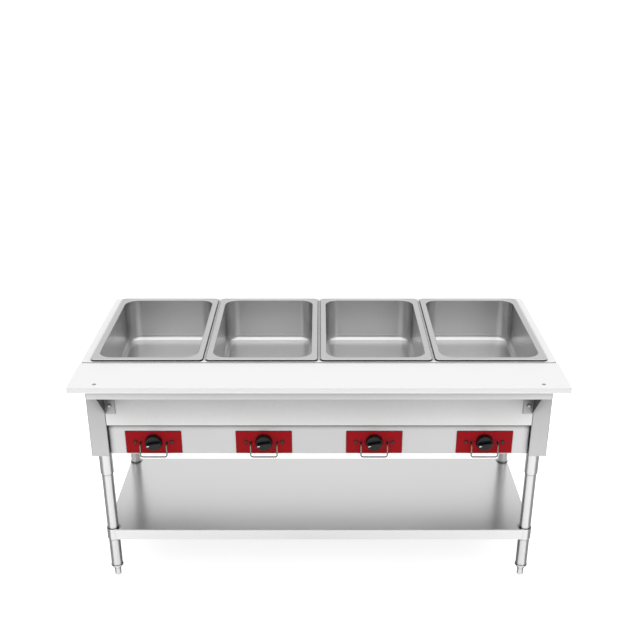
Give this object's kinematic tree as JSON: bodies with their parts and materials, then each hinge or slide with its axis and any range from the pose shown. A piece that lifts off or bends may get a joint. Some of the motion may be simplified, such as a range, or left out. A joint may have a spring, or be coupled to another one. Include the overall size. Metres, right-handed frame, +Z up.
{
  "type": "electric steam table",
  "caption": "Floor-standing electric steam table with a row of open spillage pans, dial controls with wire guards, a cutting board along the front and an undershelf.",
  "frame": {"origin": "floor under the middle of the whole object's bounding box", "axes": "+X to the right seen from the front, +Y from the cutting board towards the back, +Z up"},
  "size_m": [1.48, 0.748, 0.8455],
  "materials": {
    "satin_steel": "satin stainless sheet",
    "pan_steel": "drawn stainless sheet, satin",
    "aluminised_steel": "aluminised sheet, dull",
    "element_sheath": "oxidised heating tube",
    "fastener_steel": "plain fasteners",
    "knob_plastic": "moulded, matt black",
    "moulded_insulation": "moulded, matt",
    "terminal_plastic": "moulded, matt ivory",
    "plate_enamel": "red enamel on thin sheet",
    "plated_wire": "bright plated wire",
    "amber_lens": "clear moulded lens, amber red",
    "green_lens": "clear moulded lens, dark green",
    "board_plastic": "white polyethylene, fine matt grain",
    "shelf_steel": "bright stainless sheet",
    "leg_steel": "polished stainless tube",
    "foot_steel": "turned steel",
    "insert_metal": "cast and turned",
    "loom_sleeve": "sleeved wires"
  },
  "bodies": {
    "frame": {"deck_top": "satin_steel", "front_panel": "satin_steel", "control_panel": "satin_steel", "end_panel_left": "satin_steel", "end_panel_right": "satin_steel", "back_panel": "satin_steel", "bottom_panel": "satin_steel", "board_rail": "satin_steel", "bracket_left": "satin_steel", "bracket_right": "satin_steel", "heat_well_1": "aluminised_steel", "heat_well_2": "aluminised_steel", "heat_well_3": "aluminised_steel", "heat_well_4": "aluminised_steel", "element_clips": "aluminised_steel", "heating_element_1": "element_sheath", "heating_element_2": "element_sheath", "heating_element_3": "element_sheath", "heating_element_4": "element_sheath", "bracket_bolts": "fastener_steel", "board_screws": "fastener_steel", "socket_bolts": "fastener_steel", "set_screws": "fastener_steel", "guard_nuts": "fastener_steel", "switch_bodies": "moulded_insulation", "cable_gland": "moulded_insulation", "terminal_block": "terminal_plastic", "dial_plates": "plate_enamel", "knob_guard_1": "plated_wire", "knob_guard_2": "plated_wire", "knob_guard_3": "plated_wire", "knob_guard_4": "plated_wire", "pilot_lamps": "amber_lens", "power_lamps": "green_lens", "cutting_board": "board_plastic", "undershelf": "shelf_steel", "leg_1": "leg_steel", "leg_2": "leg_steel", "leg_3": "leg_steel", "leg_4": "leg_steel", "leg_sockets": "leg_steel", "foot_inserts": "insert_metal", "wiring_loom": "loom_sleeve"},
    "pan_body_1": {"spillage_pan_1": "pan_steel"},
    "dial_1": {"knob_1": "knob_plastic", "switch_shaft_1": "fastener_steel"},
    "pan_body_2": {"spillage_pan_2": "pan_steel"},
    "dial_2": {"knob_2": "knob_plastic", "switch_shaft_2": "fastener_steel"},
    "pan_body_3": {"spillage_pan_3": "pan_steel"},
    "dial_3": {"knob_3": "knob_plastic", "switch_shaft_3": "fastener_steel"},
    "pan_body_4": {"spillage_pan_4": "pan_steel"},
    "dial_4": {"knob_4": "knob_plastic", "switch_shaft_4": "fastener_steel"},
    "leveller_1": {"foot_1": "foot_steel"},
    "leveller_2": {"foot_2": "foot_steel"},
    "leveller_3": {"foot_3": "foot_steel"},
    "leveller_4": {"foot_4": "foot_steel"}
  },
  "joints": [
    {"name": "pan_lift_1", "type": "slide", "parent": "frame", "child": "pan_body_1", "axis": [0, 0, 1], "range_m": [0, 0.2]},
    {"name": "knob_turn_1", "type": "hinge", "parent": "frame", "child": "dial_1", "pos_m": [-0.5334, -0.1785, 0.55], "axis": [0, 1, 0], "range_deg": [0, 270]},
    {"name": "pan_lift_2", "type": "slide", "parent": "frame", "child": "pan_body_2", "axis": [0, 0, 1], "range_m": [0, 0.2]},
    {"name": "knob_turn_2", "type": "hinge", "parent": "frame", "child": "dial_2", "pos_m": [-0.1778, -0.1785, 0.55], "axis": [0, 1, 0], "range_deg": [0, 270]},
    {"name": "pan_lift_3", "type": "slide", "parent": "frame", "child": "pan_body_3", "axis": [0, 0, 1], "range_m": [0, 0.2]},
    {"name": "knob_turn_3", "type": "hinge", "parent": "frame", "child": "dial_3", "pos_m": [0.1778, -0.1785, 0.55], "axis": [0, 1, 0], "range_deg": [0, 270]},
    {"name": "pan_lift_4", "type": "slide", "parent": "frame", "child": "pan_body_4", "axis": [0, 0, 1], "range_m": [0, 0.2]},
    {"name": "knob_turn_4", "type": "hinge", "parent": "frame", "child": "dial_4", "pos_m": [0.5334, -0.1785, 0.55], "axis": [0, 1, 0], "range_deg": [0, 270]},
    {"name": "foot_screw_1", "type": "slide", "parent": "frame", "child": "leveller_1", "axis": [0, 0, -1], "range_m": [0, 0.025]},
    {"name": "foot_screw_2", "type": "slide", "parent": "frame", "child": "leveller_2", "axis": [0, 0, -1], "range_m": [0, 0.025]},
    {"name": "foot_screw_3", "type": "slide", "parent": "frame", "child": "leveller_3", "axis": [0, 0, -1], "range_m": [0, 0.025]},
    {"name": "foot_screw_4", "type": "slide", "parent": "frame", "child": "leveller_4", "axis": [0, 0, -1], "range_m": [0, 0.025]}
  ]
}
